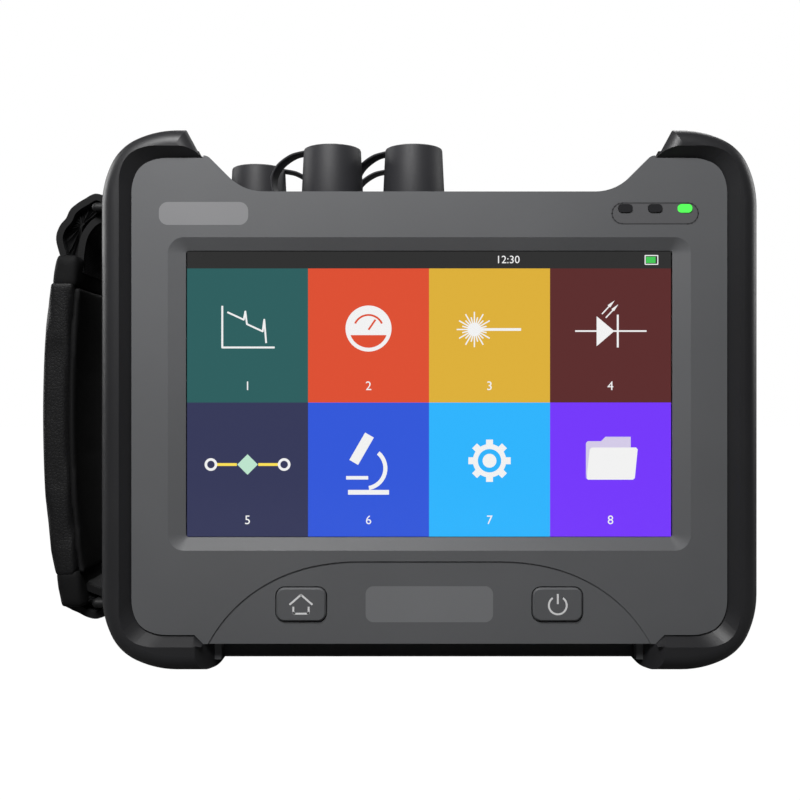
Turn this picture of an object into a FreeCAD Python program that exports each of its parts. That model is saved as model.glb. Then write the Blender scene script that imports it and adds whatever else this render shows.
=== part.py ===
"""Handheld optical time domain reflectometer: two-part housing between moulded
end bumpers, seven-inch touch display, capped fibre ports and a hand strap.

Millimetres. X to the right, Y away from the user, Z up from the feet. Pieces are
modelled from the middle of the housing's front face; place() moves them all so
that the origin lies under the middle of the whole outline.
"""
import FreeCAD, Part
import math
import os

V = FreeCAD.Vector

# ---- bumpers and overall form
body_half = 103.0            # middle to the outside of a bumper
body_high = 169.7            # feet to the top of the horns
bumper_corner = 24.0
corner_fullness = 0.69       # middle radius of a corner over its reach
corner_turn = 25.0           # degrees turned before and after the middle arc
bumper_wall = 4.0
bumper_proud = 3.0           # bumper crest in front of and behind the housing
bumper_round = 5.0           # rounding of the outer front and rear edges
flare_end = 0.8              # depth inside the face where the slope ends
inner_slope = 3.2            # width of the slope from crest to face
horn_end_low = body_half - 32.1   # horn end at the level of the face corner
horn_end_high = horn_end_low + 4.9   # horn end at the top
horn_recede = 12.0           # how far the horn end falls back over the depth
foot_end = body_half - 37.0
foot_end_round = 2.2
foot_curve_wide = 7.0
foot_curve_deep = 19.0

# ---- housing
body_deep = 62.0             # front face to rear face
split_deep = 9.0             # front face to the joint between the two shells
flange_deep = 5.0            # front face to the shell's outer flange
face_half = body_half - 9.6
face_corner = 11.0
face_low = 11.1              # face edge over a foot
face_high = body_high - 9.0      # face edge under a horn
face_middle_low = 8.3        # face edge between the feet
face_middle_high = body_high - 19.5   # face edge between the horns
wing_tip = horn_end_low - 1.3
wing_tip_high = face_high + 0.8
wing_round = 15.0
tip_round = 3.0
rear_low = 2.3               # underside of the rear shell
deck_high = face_middle_high - 1.3   # top deck of the rear shell
wall = 2.8
face_wall = 2.5
seam = 0.15
gasket_wide = 1.2
gasket_edge = 0.8
gasket_high = 1.0

# ---- arch step under the display
arch_half = face_half - 23.4
arch_high = 34.2
arch_flat = 22.0
arch_step = 0.4

# ---- display
screen_wide = 2 * (face_half - 16.7)
screen_high = face_middle_high - 59.8
screen_low = 41.5
screen_centre = screen_low + screen_high / 2
recess_wide = screen_wide + 10.6
recess_high = screen_high + 7.9
recess_corner = 5.0
recess_deep = 1.9
glass_margin = 4.0
glass_thick = 1.3
display_gap = 0.3
lcd_margin = 5.0
lcd_post_radius = 3.0
lcd_post_x = 45.0
keypad_half = 68.0
keypad_high = 13.0
keypad_post_radius = 2.5
lcd_thick = 5.2
lcd_step = 1.2
bracket_margin = 3.0
bracket_thick = 1.0
bracket_window_wide = 30.0
bracket_window_high = 40.0
bracket_window_rise = 18.0

# ---- keys and plates on the face
key_offset = 40.2
key_centre = 20.7
key_wide = 15.6
key_high = 10.5
key_corner = 2.6
key_proud = 0.9
key_gap = 0.35
key_travel = 1.0
key_flange = 1.4
key_flange_thick = 0.9
stem_radius = 2.2
plate_wide = 40.0
plate_high = 11.3
plate_corner = 2.5
plate_thick = 0.5
badge_wide = 28.0
badge_high = 7.2
badge_corner = 2.8
badge_centre = face_half - 22.6
upper_row = face_middle_high - 6.9   # height of the badge and the indicator window
lamp_window_wide = 27.6
lamp_window_high = 7.1
lamp_pitch = 9.35
lamp_wide = 4.6
lamp_high = 2.7
lamp_rise = 1.6              # lamps above the middle of their window
lamp_proud = 0.35

# ---- fibre ports: X, Y and the turn of each tether about its port
port_front_row = 18.0
port_back_row = body_deep - 14.0
port_places = {
    "meter": (-4.8, port_back_row, -1.0),
    "locator": (11.2 - horn_end_low, port_back_row, 1.0),
    "singlemode": (-31.5, port_front_row, -1.0),
    "multimode": (-4.65, port_front_row, -1.0),
}
barrel_radius = 7.2
barrel_rise = 16.0
ferrule_bore = 1.25
sleeve_radius = 2.0
sleeve_long = 11.0
keyway_wide = 2.2
keyway_deep = 3.0
flange_size = 18.0
flange_thick = 2.0
tail_radius = 5.0
tail_long = 9.0
laser_radius = 4.6
laser_long = 28.0
detector_radius = 5.6
detector_long = 12.0
cap_base_radius = 10.2
cap_top_radius = 9.4
cap_top_high = deck_high + 18.7
cap_gap = 0.3
cap_roof_gap = 0.6
cap_crown = 1.2
cap_travel = 22.0
ring_radius = 8.8
ring_thick = 1.4
ribbon_wide = 5.5
ribbon_thick = 1.2

# ---- port panel and socket bay
panel_left = 0.9 - horn_end_low
panel_right = 8.5
panel_front = 10.4
panel_rear = body_deep - 3.0
panel_thick = 2.0
panel_ledge = 1.5
bay_right = horn_end_low - 4.9
bay_left = bay_right - 46.0
bay_front = 22.0
bay_rear = 42.0
bay_deep = 1.6
flap_thick = 1.8
flap_overlap = 1.6
flap_gap = 0.5
flap_pin_radius = 0.5
flap_pin_clear = 0.1
flap_lift = 0.2
lug_wide = 2.6
lug_half = 0.8
lug_rise = 0.85
port_board_drop = 13.0
socket_row = 31.0
board_thick = 1.6

# ---- electronics
main_board_deep = 17.0
main_board_half = face_half - 9.4
main_board_low = 41.0
main_board_high = deck_high - 32.0
standoff_radius = 2.5
shield_thick = 3.4
processor_edges = (main_board_half - 104, main_board_half - 64, 67.0, 97.0)    # left, right, low, high
receiver_edges = (main_board_half - 48, main_board_half - 20, 73.0, 95.0)
cable_left = -30.0
cable_right = -8.0
cable_rise = 14.0
cable_thick = 0.6
module_left = -46.0
module_right = 40.0
module_low = 69.0
module_high = deck_high - 33.9
module_thick = 18.0
tray_radius = 21.0
tray_thick = 7.0
fibre_coil_radius = 15.0
fibre_bundle = 1.4
speaker_radius = 9.0
speaker_thick = 5.0
speaker_x = 66.0
speaker_z = 97.0

# ---- battery
bay_half = face_half - 26.4
battery_low = 13.0
battery_high = 55.0
battery_deep = 19.0
battery_gap = 0.4
door_margin = 5.0
door_thick = 2.2
door_corner = 4.0
bay_wall = 1.8
contact_pitch = 9.0
grip_half = 7.0

# ---- kickstand
stand_half = 40.0
stand_low = 65.0
stand_pivot = deck_high - 15.0
stand_thick = 3.6
stand_gap = 0.5
stand_window_half = 24.0
stand_rail = 14.0
stand_pin_radius = 1.5
stand_pin_clear = 0.05
stand_recess = 5.0

# ---- screws
screw_x = face_half - 9.4
screw_low = 18.9
screw_high = face_high - 7.8
screw_radius = 1.5
screw_head_radius = 2.8
screw_head_high = 2.0
boss_radius = 4.6
screw_seat = 24.0            # front face to the head's seat in its deep hole

# ---- hand strap
strap_reach = body_half + 20.5      # middle of the housing to the outside of the pad
strap_bow = 5.0
strap_end = 20.0             # length over which an end curves in
pad_thick = 8.5
pad_low = 25.0
pad_wide = 50.0
strap_middle = body_deep / 2 + 2.0     # depth of the strap's centre line
web_wide = 38.0
web_thick = 2.2
web_inset = 1.2
bar_out = body_half + 4.6
bar_low = 18.9
bar_high = body_high - 22.4
pad_high = bar_high - 10.3
bar_radius = 1.5
bar_half = 21.0
bar_leg = 7.0                # depth of a bar's leg inside the housing
bar_clear = 0.3

x_shift = (strap_reach - body_half) / 2
y_shift = -body_deep / 2


# ---- building blocks ---------------------------------------------------------
def box(x0, x1, y0, y1, z0, z1):
    return Part.makeBox(x1 - x0, y1 - y0, z1 - z0, V(x0, y0, z0))


def post(x, z, y0, y1, radius):
    """Round bar along Y."""
    return Part.makeCylinder(radius, y1 - y0, V(x, y0, z), V(0, 1, 0))


def pillar(x, y, z0, z1, radius):
    """Round bar along Z."""
    return Part.makeCylinder(radius, z1 - z0, V(x, y, z0), V(0, 0, 1))


def trace(start, moves):
    """Edges in the XZ plane: a move is one end point, or a curve's points and its end."""
    edges, here = [], V(start[0], 0, start[1])
    for move in moves:
        points = [V(x, 0, z) for x, z in move]
        if len(points) == 1:
            edges.append(Part.LineSegment(here, points[0]).toShape())
        elif len(points) == 2:
            edges.append(Part.Arc(here, points[0], points[1]).toShape())
        else:
            curve = Part.BezierCurve()
            curve.setPoles([here] + points)
            edges.append(curve.toShape())
        here = points[-1]
    return edges


def slab(edges, y0, y1):
    """Closed edges in the XZ plane, drawn out from y0 to y1."""
    wire = Part.Wire(Part.__sortEdges__(edges))
    wire.translate(V(0, y0, 0))
    return Part.Face(wire).extrude(V(0, y1 - y0, 0))


def mirrored(start, moves):
    """A path from the lower to the upper end of the middle line, and its mirror image."""
    half = trace(start, moves)
    other = [edge.mirror(V(0, 0, 0), V(1, 0, 0)) for edge in half]
    return half + other


def corner(x, z, reach, side_first):
    """A squarish corner at x, z of three arcs, entered along the bottom or up the side."""
    tight = corner_fullness * reach
    sine, cosine = math.sin(math.radians(corner_turn)), math.cos(math.radians(corner_turn))
    slack = (reach - tight * (cosine - sine)) / (sine + 1 - cosine)
    spans = [(slack, 0, corner_turn), (tight, corner_turn, 90 - corner_turn), (slack, 90 - corner_turn, 90)]
    moves, along, up = [], 0.0, 0.0
    for radius, start, end in spans:
        points = []
        for turn in ((start + end) / 2, end):
            first, now = math.radians(start), math.radians(turn)
            points.append((along + radius * (math.sin(now) - math.sin(first)),
                           up + radius * (math.cos(first) - math.cos(now))))
        along, up = points[-1]
        if side_first:
            moves.append([(x - across, z - reach + rise) for rise, across in points])
        else:
            moves.append([(x - reach + run, z + rise) for run, rise in points])
    return moves


def plate(cx, cz, wide, high, radius, y0, y1):
    """Rounded rectangle that faces along Y."""
    w, h, r = wide / 2, high / 2, radius
    k = r * (1 - math.sqrt(0.5))
    half = [
        [(w - r, -h)], [(w - k, -h + k), (w, -h + r)],
        [(w, h - r)], [(w - k, h - k), (w - r, h)], [(0, h)],
    ]
    shape = slab(mirrored((0, -h), half), y0, y1)
    shape.translate(V(cx, 0, cz))
    return shape


def taper(cx, cz, front, rear, y0, y1):
    """Rounded rectangle that changes from (wide, high, radius) at y0 to another at y1."""
    ends = []
    for (wide, high, radius), y in ((front, y0), (rear, y1)):
        thin = plate(cx, cz, wide, high, radius, y, y + 1)
        ends.append(min(thin.Faces, key=lambda f: f.CenterOfMass.y).OuterWire)
    return Part.makeLoft(ends, True, True)


def place(shape):
    shape.translate(V(x_shift, y_shift, 0))
    return shape


# ---- outlines of the housing -------------------------------------------------
def horn_x(z):
    """The horn's slanting end."""
    rise = (z - face_high) / (body_high - face_high)
    return horn_end_low + (horn_end_high - horn_end_low) * rise


def wing_path():
    """From the tip of the face's wing down to the middle of its top edge."""
    bend = wing_tip - (wing_tip_high - face_middle_high)
    run = wing_round * math.tan(math.radians(22.5))
    mid = wing_round * (1 - math.cos(math.radians(22.5)))
    along = wing_round * math.sin(math.radians(22.5))
    diagonal = run * math.sqrt(0.5)
    half = math.radians(22.5)
    start = wing_tip + tip_round * math.tan(half)
    return [
        [(start, wing_tip_high)],
        [(start - tip_round * math.sin(half), wing_tip_high - tip_round * (1 - math.cos(half))),
         (start - tip_round * math.sqrt(0.5), wing_tip_high - tip_round * (1 - math.sqrt(0.5)))],
        [(bend + diagonal, face_middle_high + diagonal)],
        [(bend - run + along, face_middle_high + mid), (bend - run, face_middle_high)],
        [(0, face_middle_high)],
    ]


def face_outline(grow):
    """Edge of the grey face; grow widens it under the bumpers."""
    side, low, high = face_half + grow, face_low - grow, face_high + grow
    step_start = horn_end_low + min(grow, seam)
    moves = [
        [(step_start, face_middle_low)],
        [(step_start + face_low - face_middle_low, low)],
        [(side - face_corner, low)],
        *corner(side, low, face_corner, False),
        [(side, high - face_corner)],
        *corner(side, high, face_corner, True),
        [(horn_end_low, high)],
    ]
    return mirrored((0, face_middle_low), moves + wing_path())


def core_outline(middle_low, top_moves, inset=0.0):
    """The housing inside the bumpers, with its top between the horns given."""
    side = body_half - bumper_wall - inset
    low, high = rear_low + inset, body_high - bumper_wall - inset
    reach = bumper_corner - bumper_wall - inset
    moves = [
        [(foot_end + inset, middle_low)],
        [(foot_end + inset, low)],
        [(side - reach, low)],
        *corner(side, low, reach, False),
        [(side, high - reach)],
        *corner(side, high, reach, True),
        [(horn_x(high) + inset, high)],
        [(horn_end_low + inset, face_high)],
    ]
    if abs(middle_low - low) < 1e-6:
        del moves[1]
    return mirrored((0, middle_low), moves + top_moves)


def deck_path(high, x):
    return [[(x, high)], [(0, high)]]


def trimmed(shape):
    """The shape without what stands out past either horn's end."""
    right = horn_trim()
    return shape.cut(right).cut(right.mirror(V(0, 0, 0), V(1, 0, 0)))


def horn_trim():
    """Wedge that lets the right horn's end fall back toward the rear."""
    run = body_high + 5 - wing_tip_high
    ends = [(wing_tip_high, horn_x(wing_tip_high)), (wing_tip_high + run, horn_x(wing_tip_high + run))]
    (low, low_x), (high, high_x) = ends
    inner = low_x - 2 * horn_recede
    side = [[(low_x, low)], [(high_x, high)], [(inner, high)], [(inner, low)]]
    wire = Part.Wire(trace((inner, low), side))
    deep = body_deep + 2 * bumper_proud
    wire.translate(V(0, -bumper_proud, 0))
    return Part.Face(wire).extrude(V(horn_recede, deep, 0))


def foot_trim():
    """Takes the front inner corner off the right foot with a long curve."""
    front, back = -bumper_proud, foot_curve_deep - bumper_proud
    radius = (foot_curve_deep ** 2 + foot_curve_wide ** 2) / (2 * foot_curve_wide)
    middle = radius - math.sqrt(radius ** 2 - (foot_curve_deep / 2) ** 2)
    points = [V(foot_end + foot_curve_wide, front, 0), V(foot_end + middle, (front + back) / 2, 0),
              V(foot_end, back, 0)]
    edges = [Part.Arc(*points).toShape()]
    rest = [points[2], V(foot_end - 1, back, 0), V(foot_end - 1, front - 1, 0),
            V(foot_end + foot_curve_wide, front - 1, 0), points[0]]
    edges += [Part.LineSegment(a, b).toShape() for a, b in zip(rest, rest[1:])]
    wire = Part.Wire(edges)
    wire.translate(V(0, 0, -1))
    return Part.Face(wire).extrude(V(0, 0, face_middle_low + 1))


# ---- bumpers -----------------------------------------------------------------
def bumper():
    """Right-hand C: horn, side and foot in one moulding around the housing's end."""
    crest, back = -bumper_proud, body_deep + bumper_proud
    bend = foot_end_round * (1 - math.sqrt(0.5))
    outer = trace((foot_end, face_middle_low), [
        [(foot_end, foot_end_round)],
        [(foot_end + bend, bend), (foot_end + foot_end_round, 0)],
        [(body_half - bumper_corner, 0)],
        *corner(body_half, 0, bumper_corner, False),
        [(body_half, body_high - bumper_corner)],
        *corner(body_half, body_high, bumper_corner, True),
        [(horn_end_high, body_high)],
        [(horn_end_low, face_high)],
        [(horn_end_low, body_high / 2)],
        [(foot_end, face_middle_low)],
    ])
    block = slab(outer, crest, back)
    rims = []
    for edge in block.Edges:
        ends = edge.BoundBox
        flat = ends.YLength < 1e-6 and (abs(ends.YMin - crest) < 1e-6 or abs(ends.YMax - back) < 1e-6)
        middle = edge.CenterOfMass
        outside = middle.x > face_half or middle.z < face_middle_low or middle.z > face_high
        if flat and outside:
            rims.append(edge)
    block = block.makeFillet(bumper_round, rims)
    mouth_front = slab(face_outline(seam), -bumper_proud - 1, flange_deep)
    mouth_rear = slab(face_outline(seam), body_deep, back + 1)
    core = slab(core_outline(rear_low, deck_path(deck_high, horn_end_low)), flange_deep, body_deep)
    slopes = [flare(crest, flare_end), flare(back, body_deep - flare_end)]
    for tool in [mouth_front, mouth_rear, core, horn_trim(), foot_trim()] + slopes:
        block = block.cut(tool)
    return block


def flare(y_wide, y_narrow):
    """The slope that widens the bumper's mouth from the face out to the crest."""
    wires = []
    for grow, y in ((inner_slope, y_wide), (seam, y_narrow)):
        wire = Part.Wire(Part.__sortEdges__(face_outline(grow)))
        wire.translate(V(0, y, 0))
        wires.append(wire)
    return Part.makeLoft(wires, True, True)


# ---- housing shells ----------------------------------------------------------
boss_places = [(s * screw_x, z) for s in (-1, 1) for z in (screw_low, screw_high)]
glass_wide = screen_wide + 2 * glass_margin
glass_high = screen_high + 2 * glass_margin
glass_rear = face_wall + glass_thick
lcd_front = glass_rear + display_gap
lcd_rear = lcd_front + lcd_thick
bracket_rear = lcd_rear + bracket_thick
post_reach = screen_high / 2 + lcd_margin + lcd_post_radius + seam
lamp_row = upper_row + lamp_rise
lamp_places = [badge_centre + n * lamp_pitch for n in (-1, 0, 1)]
key_places = {"home": -key_offset, "power": key_offset}
keypad_posts = [s * x for s in (-1, 1) for x in (keypad_half - 3, keypad_half - 15, keypad_half - 48)]


def arch_region():
    """The lowered field below the display, bounded by a flat arch."""
    foot = (arch_half, face_middle_low - 1)
    handles = [(arch_half - 6, arch_high - 15), (arch_half - 20, arch_high), (arch_flat, arch_high)]
    return mirrored((0, face_middle_low - 1), [[foot], handles, [(0, arch_high)]])


def front_housing():
    core = slab(core_outline(face_middle_low, wing_path()), flange_deep, split_deep)
    shell = slab(face_outline(0), 0, flange_deep).fuse(trimmed(core))
    inside_half = face_half - wall
    hollow = plate(0, (face_low + face_middle_high) / 2, 2 * inside_half,
                   face_middle_high - face_low - 2 * wall, face_corner, face_wall, split_deep + 1)
    shell = shell.cut(hollow)
    for x, z in boss_places:
        shell = shell.fuse(post(x, z, face_wall, split_deep, boss_radius))
        shell = shell.cut(post(x, z, face_wall, split_deep + 1, screw_radius))
    for x in keypad_posts:
        shell = shell.fuse(post(x, key_centre, face_wall, keypad_front, keypad_post_radius))
    for s in (-1, 1):
        for z in (screen_centre - post_reach, screen_centre + post_reach):
            shell = shell.fuse(post(s * lcd_post_x, z, face_wall, lcd_rear, lcd_post_radius))
    shell = shell.cut(taper(0, screen_centre, (recess_wide, recess_high, recess_corner),
                            (screen_wide, screen_high, 1.0), 0, recess_deep))
    shell = shell.cut(plate(0, screen_centre, screen_wide, screen_high, 1.0, -1, face_wall + 1))
    shell = shell.cut(slab(arch_region(), -1, arch_step))
    for x in key_places.values():
        shell = shell.cut(plate(x, key_centre, key_wide + 2 * key_gap, key_high + 2 * key_gap,
                                key_corner + key_gap, -1, face_wall + 1))
    shell = shell.cut(plate(0, key_centre, plate_wide, plate_high, plate_corner, -1, arch_step + plate_thick))
    shell = shell.cut(plate(-badge_centre, upper_row, badge_wide, badge_high, badge_corner, -1, plate_thick))
    shell = shell.cut(plate(badge_centre, upper_row, lamp_window_wide, lamp_window_high,
                            badge_corner, -1, plate_thick))
    for x in lamp_places:
        shell = shell.cut(plate(x, lamp_row, lamp_wide, lamp_high, 1.2, -1, face_wall + 1))
    return shell


def groove_ring(y0, y1):
    """A closed band that runs round between the two shells."""
    outer = slab(core_outline(face_middle_low + gasket_edge,
                              deck_path(deck_high - gasket_edge, horn_end_low + gasket_edge),
                              gasket_edge), y0, y1)
    edge = gasket_edge + gasket_wide
    inner = slab(core_outline(face_middle_low + edge, deck_path(deck_high - edge, horn_end_low + edge), edge),
                 y0 - 1, y1 + 1)
    return outer.cut(inner)


def rear_housing():
    shell = trimmed(slab(core_outline(rear_low, deck_path(deck_high, horn_end_low)), split_deep, body_deep))
    roof = deck_path(deck_high - wall, horn_end_low + wall)
    mouth = slab(core_outline(face_middle_low + wall, roof, wall), split_deep - 1, split_deep + wall)
    hollow = slab(core_outline(rear_low + wall, roof, wall), split_deep + wall, body_deep - wall)
    shell = shell.cut(mouth).cut(hollow)
    bay = box(-bay_half - bay_wall, bay_half + bay_wall, battery_front - bay_wall, body_deep,
              battery_low - bay_wall, battery_high + bay_wall)
    niche = box(-stand_half - stand_gap - bay_wall, stand_half + stand_gap + bay_wall,
                stand_seat - bay_wall, body_deep, stand_low - stand_gap - bay_wall,
                stand_top + stand_gap + bay_wall)
    shell = shell.fuse([bay, niche])
    for x, z in boss_places:
        shell = shell.fuse(post(x, z, split_deep, body_deep, boss_radius))
    shell = shell.fuse(box(panel_left - panel_ledge, panel_right + panel_ledge, split_deep + wall,
                           body_deep, deck_high - wall - panel_thick, deck_high - wall))
    for x in (bay_left + 3, bay_right - 3):
        shell = shell.fuse(pillar(x, bay_front - 3, port_board_top, deck_high - wall, 3))
        shell = shell.fuse(pillar(x, bay_rear + 4, port_board_top, deck_high - wall, 3))
    # openings
    shell = shell.cut(box(-bay_half, bay_half, battery_front, body_deep + 1, battery_low, battery_high))
    shell = shell.cut(plate(0, (battery_low + battery_high) / 2, door_wide, door_high, door_corner,
                            body_deep - door_thick, body_deep + 1))
    shell = shell.cut(box(-stand_half - stand_gap, stand_half + stand_gap, stand_seat, body_deep + 1,
                          stand_low - stand_gap, stand_top + stand_gap))
    pins = Part.makeCylinder(stand_pin_radius, 2 * (stand_half + stand_pin_reach),
                             V(-stand_half - stand_pin_reach, stand_pivot_deep, stand_pivot), V(1, 0, 0))
    shell = shell.cut(pins)
    for x, z in boss_places:
        shell = shell.cut(post(x, z, split_deep - 1, body_deep, screw_radius + 0.2))
        shell = shell.cut(post(x, z, screw_seat, body_deep + 1, screw_head_radius + 0.4))
    for x in (-1, 1):
        shell = shell.cut(post(x * door_screw_x, door_screw_z, body_deep - door_thick - 4.5, body_deep, 1.0))
    shell = shell.cut(box(panel_left, panel_right, panel_front, panel_rear,
                          deck_high - panel_thick, deck_high + 1))
    for x, y, turn in port_places.values():
        half = flange_size / 2 + cap_gap
        shell = shell.cut(box(x - half, x + half, y - half, y + half,
                              deck_high - wall - panel_thick - 1, deck_high - panel_thick))
    shell = shell.cut(box(bay_left, bay_right, bay_front, bay_rear, deck_high - bay_deep, deck_high + 1))
    for x, y, wide, deep in socket_places.values():
        shell = shell.cut(box(x - wide / 2, x + wide / 2, y - deep / 2, y + deep / 2,
                              deck_high - wall - 1, deck_high))
    for n in range(-3, 4):
        reach = math.sqrt(speaker_radius ** 2 - (2.2 * n) ** 2) - 1.5
        shell = shell.cut(box(speaker_x - reach, speaker_x + reach, body_deep - wall - 1, body_deep + 1,
                              speaker_z + 2.2 * n - 0.5, speaker_z + 2.2 * n + 0.5))
    shell = shell.cut(groove_ring(split_deep - 1, split_deep + gasket_high - 0.1))
    for y in strap_bar_ends:
        for z in (bar_low, bar_high):
            shell = shell.cut(Part.makeCylinder(bar_radius, bar_leg, V(-body_half, y, z), V(1, 0, 0)))
    return shell


# ---- display and face trim ---------------------------------------------------
def lcd_module():
    """Panel with a stepped rear tray."""
    wide, high = screen_wide + 2 * lcd_margin, screen_high + 2 * lcd_margin
    body = plate(0, screen_centre, wide, high, 1.0, lcd_front, lcd_rear - lcd_step)
    return body.fuse(plate(0, screen_centre, wide - 8, high - 8, 1.0, lcd_rear - lcd_step, lcd_rear))


def lcd_bracket():
    """Steel tray behind the display, screwed to four posts at the top and bottom."""
    wide = screen_wide + 2 * (lcd_margin + bracket_margin)
    high = screen_high + 2 * (lcd_margin + bracket_margin)
    tray = plate(0, screen_centre, wide, high, 2.0, lcd_rear, bracket_rear)
    for x in (-lcd_post_x, 0, lcd_post_x):
        tray = tray.cut(plate(x, screen_centre + bracket_window_rise, bracket_window_wide,
                              bracket_window_high, 4, lcd_rear - 1, bracket_rear + 1))
    return tray


def key(x):
    """Domed cap, hidden flange and the stem that meets the switch."""
    front = arch_step - key_proud
    cap = taper(x, key_centre, (key_wide - 1, key_high - 1, key_corner - 0.5),
                (key_wide, key_high, key_corner), front, front + 0.5)
    cap = cap.fuse(plate(x, key_centre, key_wide, key_high, key_corner, front + 0.5, key_flange_front))
    cap = cap.fuse(plate(x, key_centre, key_wide + 2 * key_flange, key_high + 2 * key_flange,
                         key_corner, key_flange_front, key_flange_front + key_flange_thick))
    return cap.fuse(post(x, key_centre, key_flange_front, key_stem_end, stem_radius))


def key_switches():
    parts = []
    for x in key_places.values():
        body = box(x - 3, x + 3, keypad_front - 1.6, keypad_front, key_centre - 3, key_centre + 3)
        parts.append(body.fuse(post(x, key_centre, switch_top, keypad_front, 1.6)))
    return Part.makeCompound(parts)


def keypad_board():
    return box(-keypad_half, keypad_half, keypad_front, keypad_front + board_thick,
               key_centre - keypad_high / 2, key_centre + keypad_high / 2)


def lamp(x):
    stem = plate(x, lamp_row, lamp_wide - 0.2, lamp_high - 0.2, 1.1, -lamp_proud, face_wall)
    base = plate(x, lamp_row, lamp_wide + 1.4, lamp_high + 1.2, 1.0, face_wall, face_wall + 1.0)
    return stem.fuse(base)


def lamp_window():
    window = plate(badge_centre, upper_row, lamp_window_wide, lamp_window_high, badge_corner, 0, plate_thick)
    for x in lamp_places:
        window = window.cut(plate(x, lamp_row, lamp_wide, lamp_high, 1.2, -1, plate_thick + 1))
    return window


# ---- fibre ports -------------------------------------------------------------
def adaptor(x, y):
    """Threaded round barrel, square flange under the panel and a tail inside."""
    shape = pillar(x, y, deck_high - panel_thick, deck_high + barrel_rise, barrel_radius)
    half = flange_size / 2
    shape = shape.fuse(box(x - half, x + half, y - half, y + half,
                           deck_high - panel_thick - flange_thick, deck_high - panel_thick))
    shape = shape.fuse(pillar(x, y, tail_low, deck_high - panel_thick, tail_radius))
    top = deck_high + barrel_rise
    shape = shape.cut(pillar(x, y, top - sleeve_long, top + 1, sleeve_radius))
    slot = box(x - keyway_wide / 2, x + keyway_wide / 2, y - barrel_radius - 1, y - 3.0,
               top - keyway_deep, top + 1)
    return shape.cut(slot)


def sleeves():
    parts = []
    top = deck_high + barrel_rise
    for x, y, turn in port_places.values():
        tube = pillar(x, y, top - sleeve_long, top - 1, sleeve_radius)
        parts.append(tube.cut(pillar(x, y, top - sleeve_long - 1, top, ferrule_bore)))
    return Part.makeCompound(parts)


def cap(x, y):
    """Slightly conical rubber cap with a crowned top."""
    low, high = cap_low, cap_top_high - cap_crown
    shape = Part.makeCone(cap_base_radius, cap_top_radius, high - low, V(x, y, low), V(0, 0, 1))
    crown = Part.makeCone(cap_top_radius, cap_top_radius - cap_crown, cap_crown, V(x, y, high), V(0, 0, 1))
    roof = deck_high + barrel_rise + cap_roof_gap
    return shape.fuse(crown).cut(pillar(x, y, low - 1, roof, barrel_radius + cap_gap))


def tether(x, y, turn):
    """Ring round the barrel and a flat ribbon that arcs up to beside the cap."""
    ring = pillar(x, y, deck_high, deck_high + ring_thick, ring_radius)
    out = cap_base_radius + 0.6
    top = cap_top_high - 5
    low = deck_high + ring_thick
    reach = out + 5.4
    foot = [(turn * (ring_radius - 2.5), deck_high), (turn * (out + 1.5), deck_high)]
    outer = trace((foot[0][0], deck_high), [
        [foot[1]],
        [(turn * reach, (low + top) / 2), (turn * out, top)],
        [(turn * out, top - ribbon_thick)],
        [(turn * (reach - ribbon_thick), (low + top) / 2), (turn * (out + 1), low)],
        [(turn * (ring_radius - 2.5), low)],
        [foot[0]],
    ])
    ribbon = slab(outer, -ribbon_wide / 2, ribbon_wide / 2)
    ribbon.translate(V(x, y, 0))
    ring = ring.fuse(ribbon)
    return ring.cut(pillar(x, y, deck_high - 1, deck_high + ring_thick + 1, barrel_radius + 0.05))


def port_panel():
    shape = box(panel_left, panel_right, panel_front, panel_rear, deck_high - panel_thick, deck_high)
    for x, y, turn in port_places.values():
        shape = shape.cut(pillar(x, y, deck_high - 5, deck_high + 1, barrel_radius))
    return shape


# ---- socket bay --------------------------------------------------------------
def socket_shell(x, y, wide, deep):
    """Metal-shelled socket that stands on the port board, open at the top."""
    rim = 0.6
    shape = box(x - wide / 2, x + wide / 2, y - deep / 2, y + deep / 2, port_board_top, deck_high - bay_deep)
    shape = shape.cut(box(x - wide / 2 + rim, x + wide / 2 - rim, y - deep / 2 + rim, y + deep / 2 - rim,
                          port_board_top + 3, deck_high))
    tongue = box(x - wide / 2 + 1.4, x + wide / 2 - 1.4, y - 0.5, y + 0.5,
                 port_board_top + 3, deck_high - bay_deep - 1.5)
    return shape.fuse(tongue)


def dc_socket(x, y, wide, deep):
    shape = box(x - wide / 2, x + wide / 2, y - deep / 2, y + deep / 2, port_board_top, deck_high - bay_deep)
    shape = shape.cut(pillar(x, y, port_board_top + 3, deck_high, 3.0))
    return shape.fuse(pillar(x, y, port_board_top + 3, deck_high - bay_deep - 1.0, 1.0))


def port_board():
    return box(bay_left - 2, bay_right + 2, bay_front - 6, bay_rear + 8,
               port_board_top - board_thick, port_board_top)


def port_flap():
    """Rubber cover over the sockets, on two hinge pins at its rear edge."""
    low = deck_high + flap_lift
    lid = box(bay_left - flap_overlap, bay_right + flap_overlap, bay_front - flap_overlap,
              flap_hinge_y - 1.2, low, low + flap_thick)
    rims = [e for e in lid.Edges if e.BoundBox.ZLength > 1]
    lid = lid.makeFillet(1.5, rims)
    tray = box(bay_left + flap_gap, bay_right - flap_gap, bay_front + flap_gap, bay_rear - 6, low - 0.9, low)
    grip = box((bay_left + bay_right) / 2 - 6, (bay_left + bay_right) / 2 + 6,
               bay_front - flap_overlap - 1.5, bay_front - flap_overlap, low + 0.4, low + flap_thick)
    shape = lid.fuse([tray, grip])
    knuckle = Part.makeCylinder(flap_thick / 2, bay_right - bay_left - 8,
                                V(bay_left + 4, flap_hinge_y, flap_axis_high), V(1, 0, 0))
    web = box(bay_left + 4, bay_right - 4, flap_hinge_y - 1.5, flap_hinge_y, low, low + flap_thick)
    pin = Part.makeCylinder(flap_pin_radius, bay_right - bay_left - 3,
                            V(bay_left + 1.5, flap_hinge_y, flap_axis_high), V(1, 0, 0))
    return shape.fuse([knuckle, web, pin])


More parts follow.
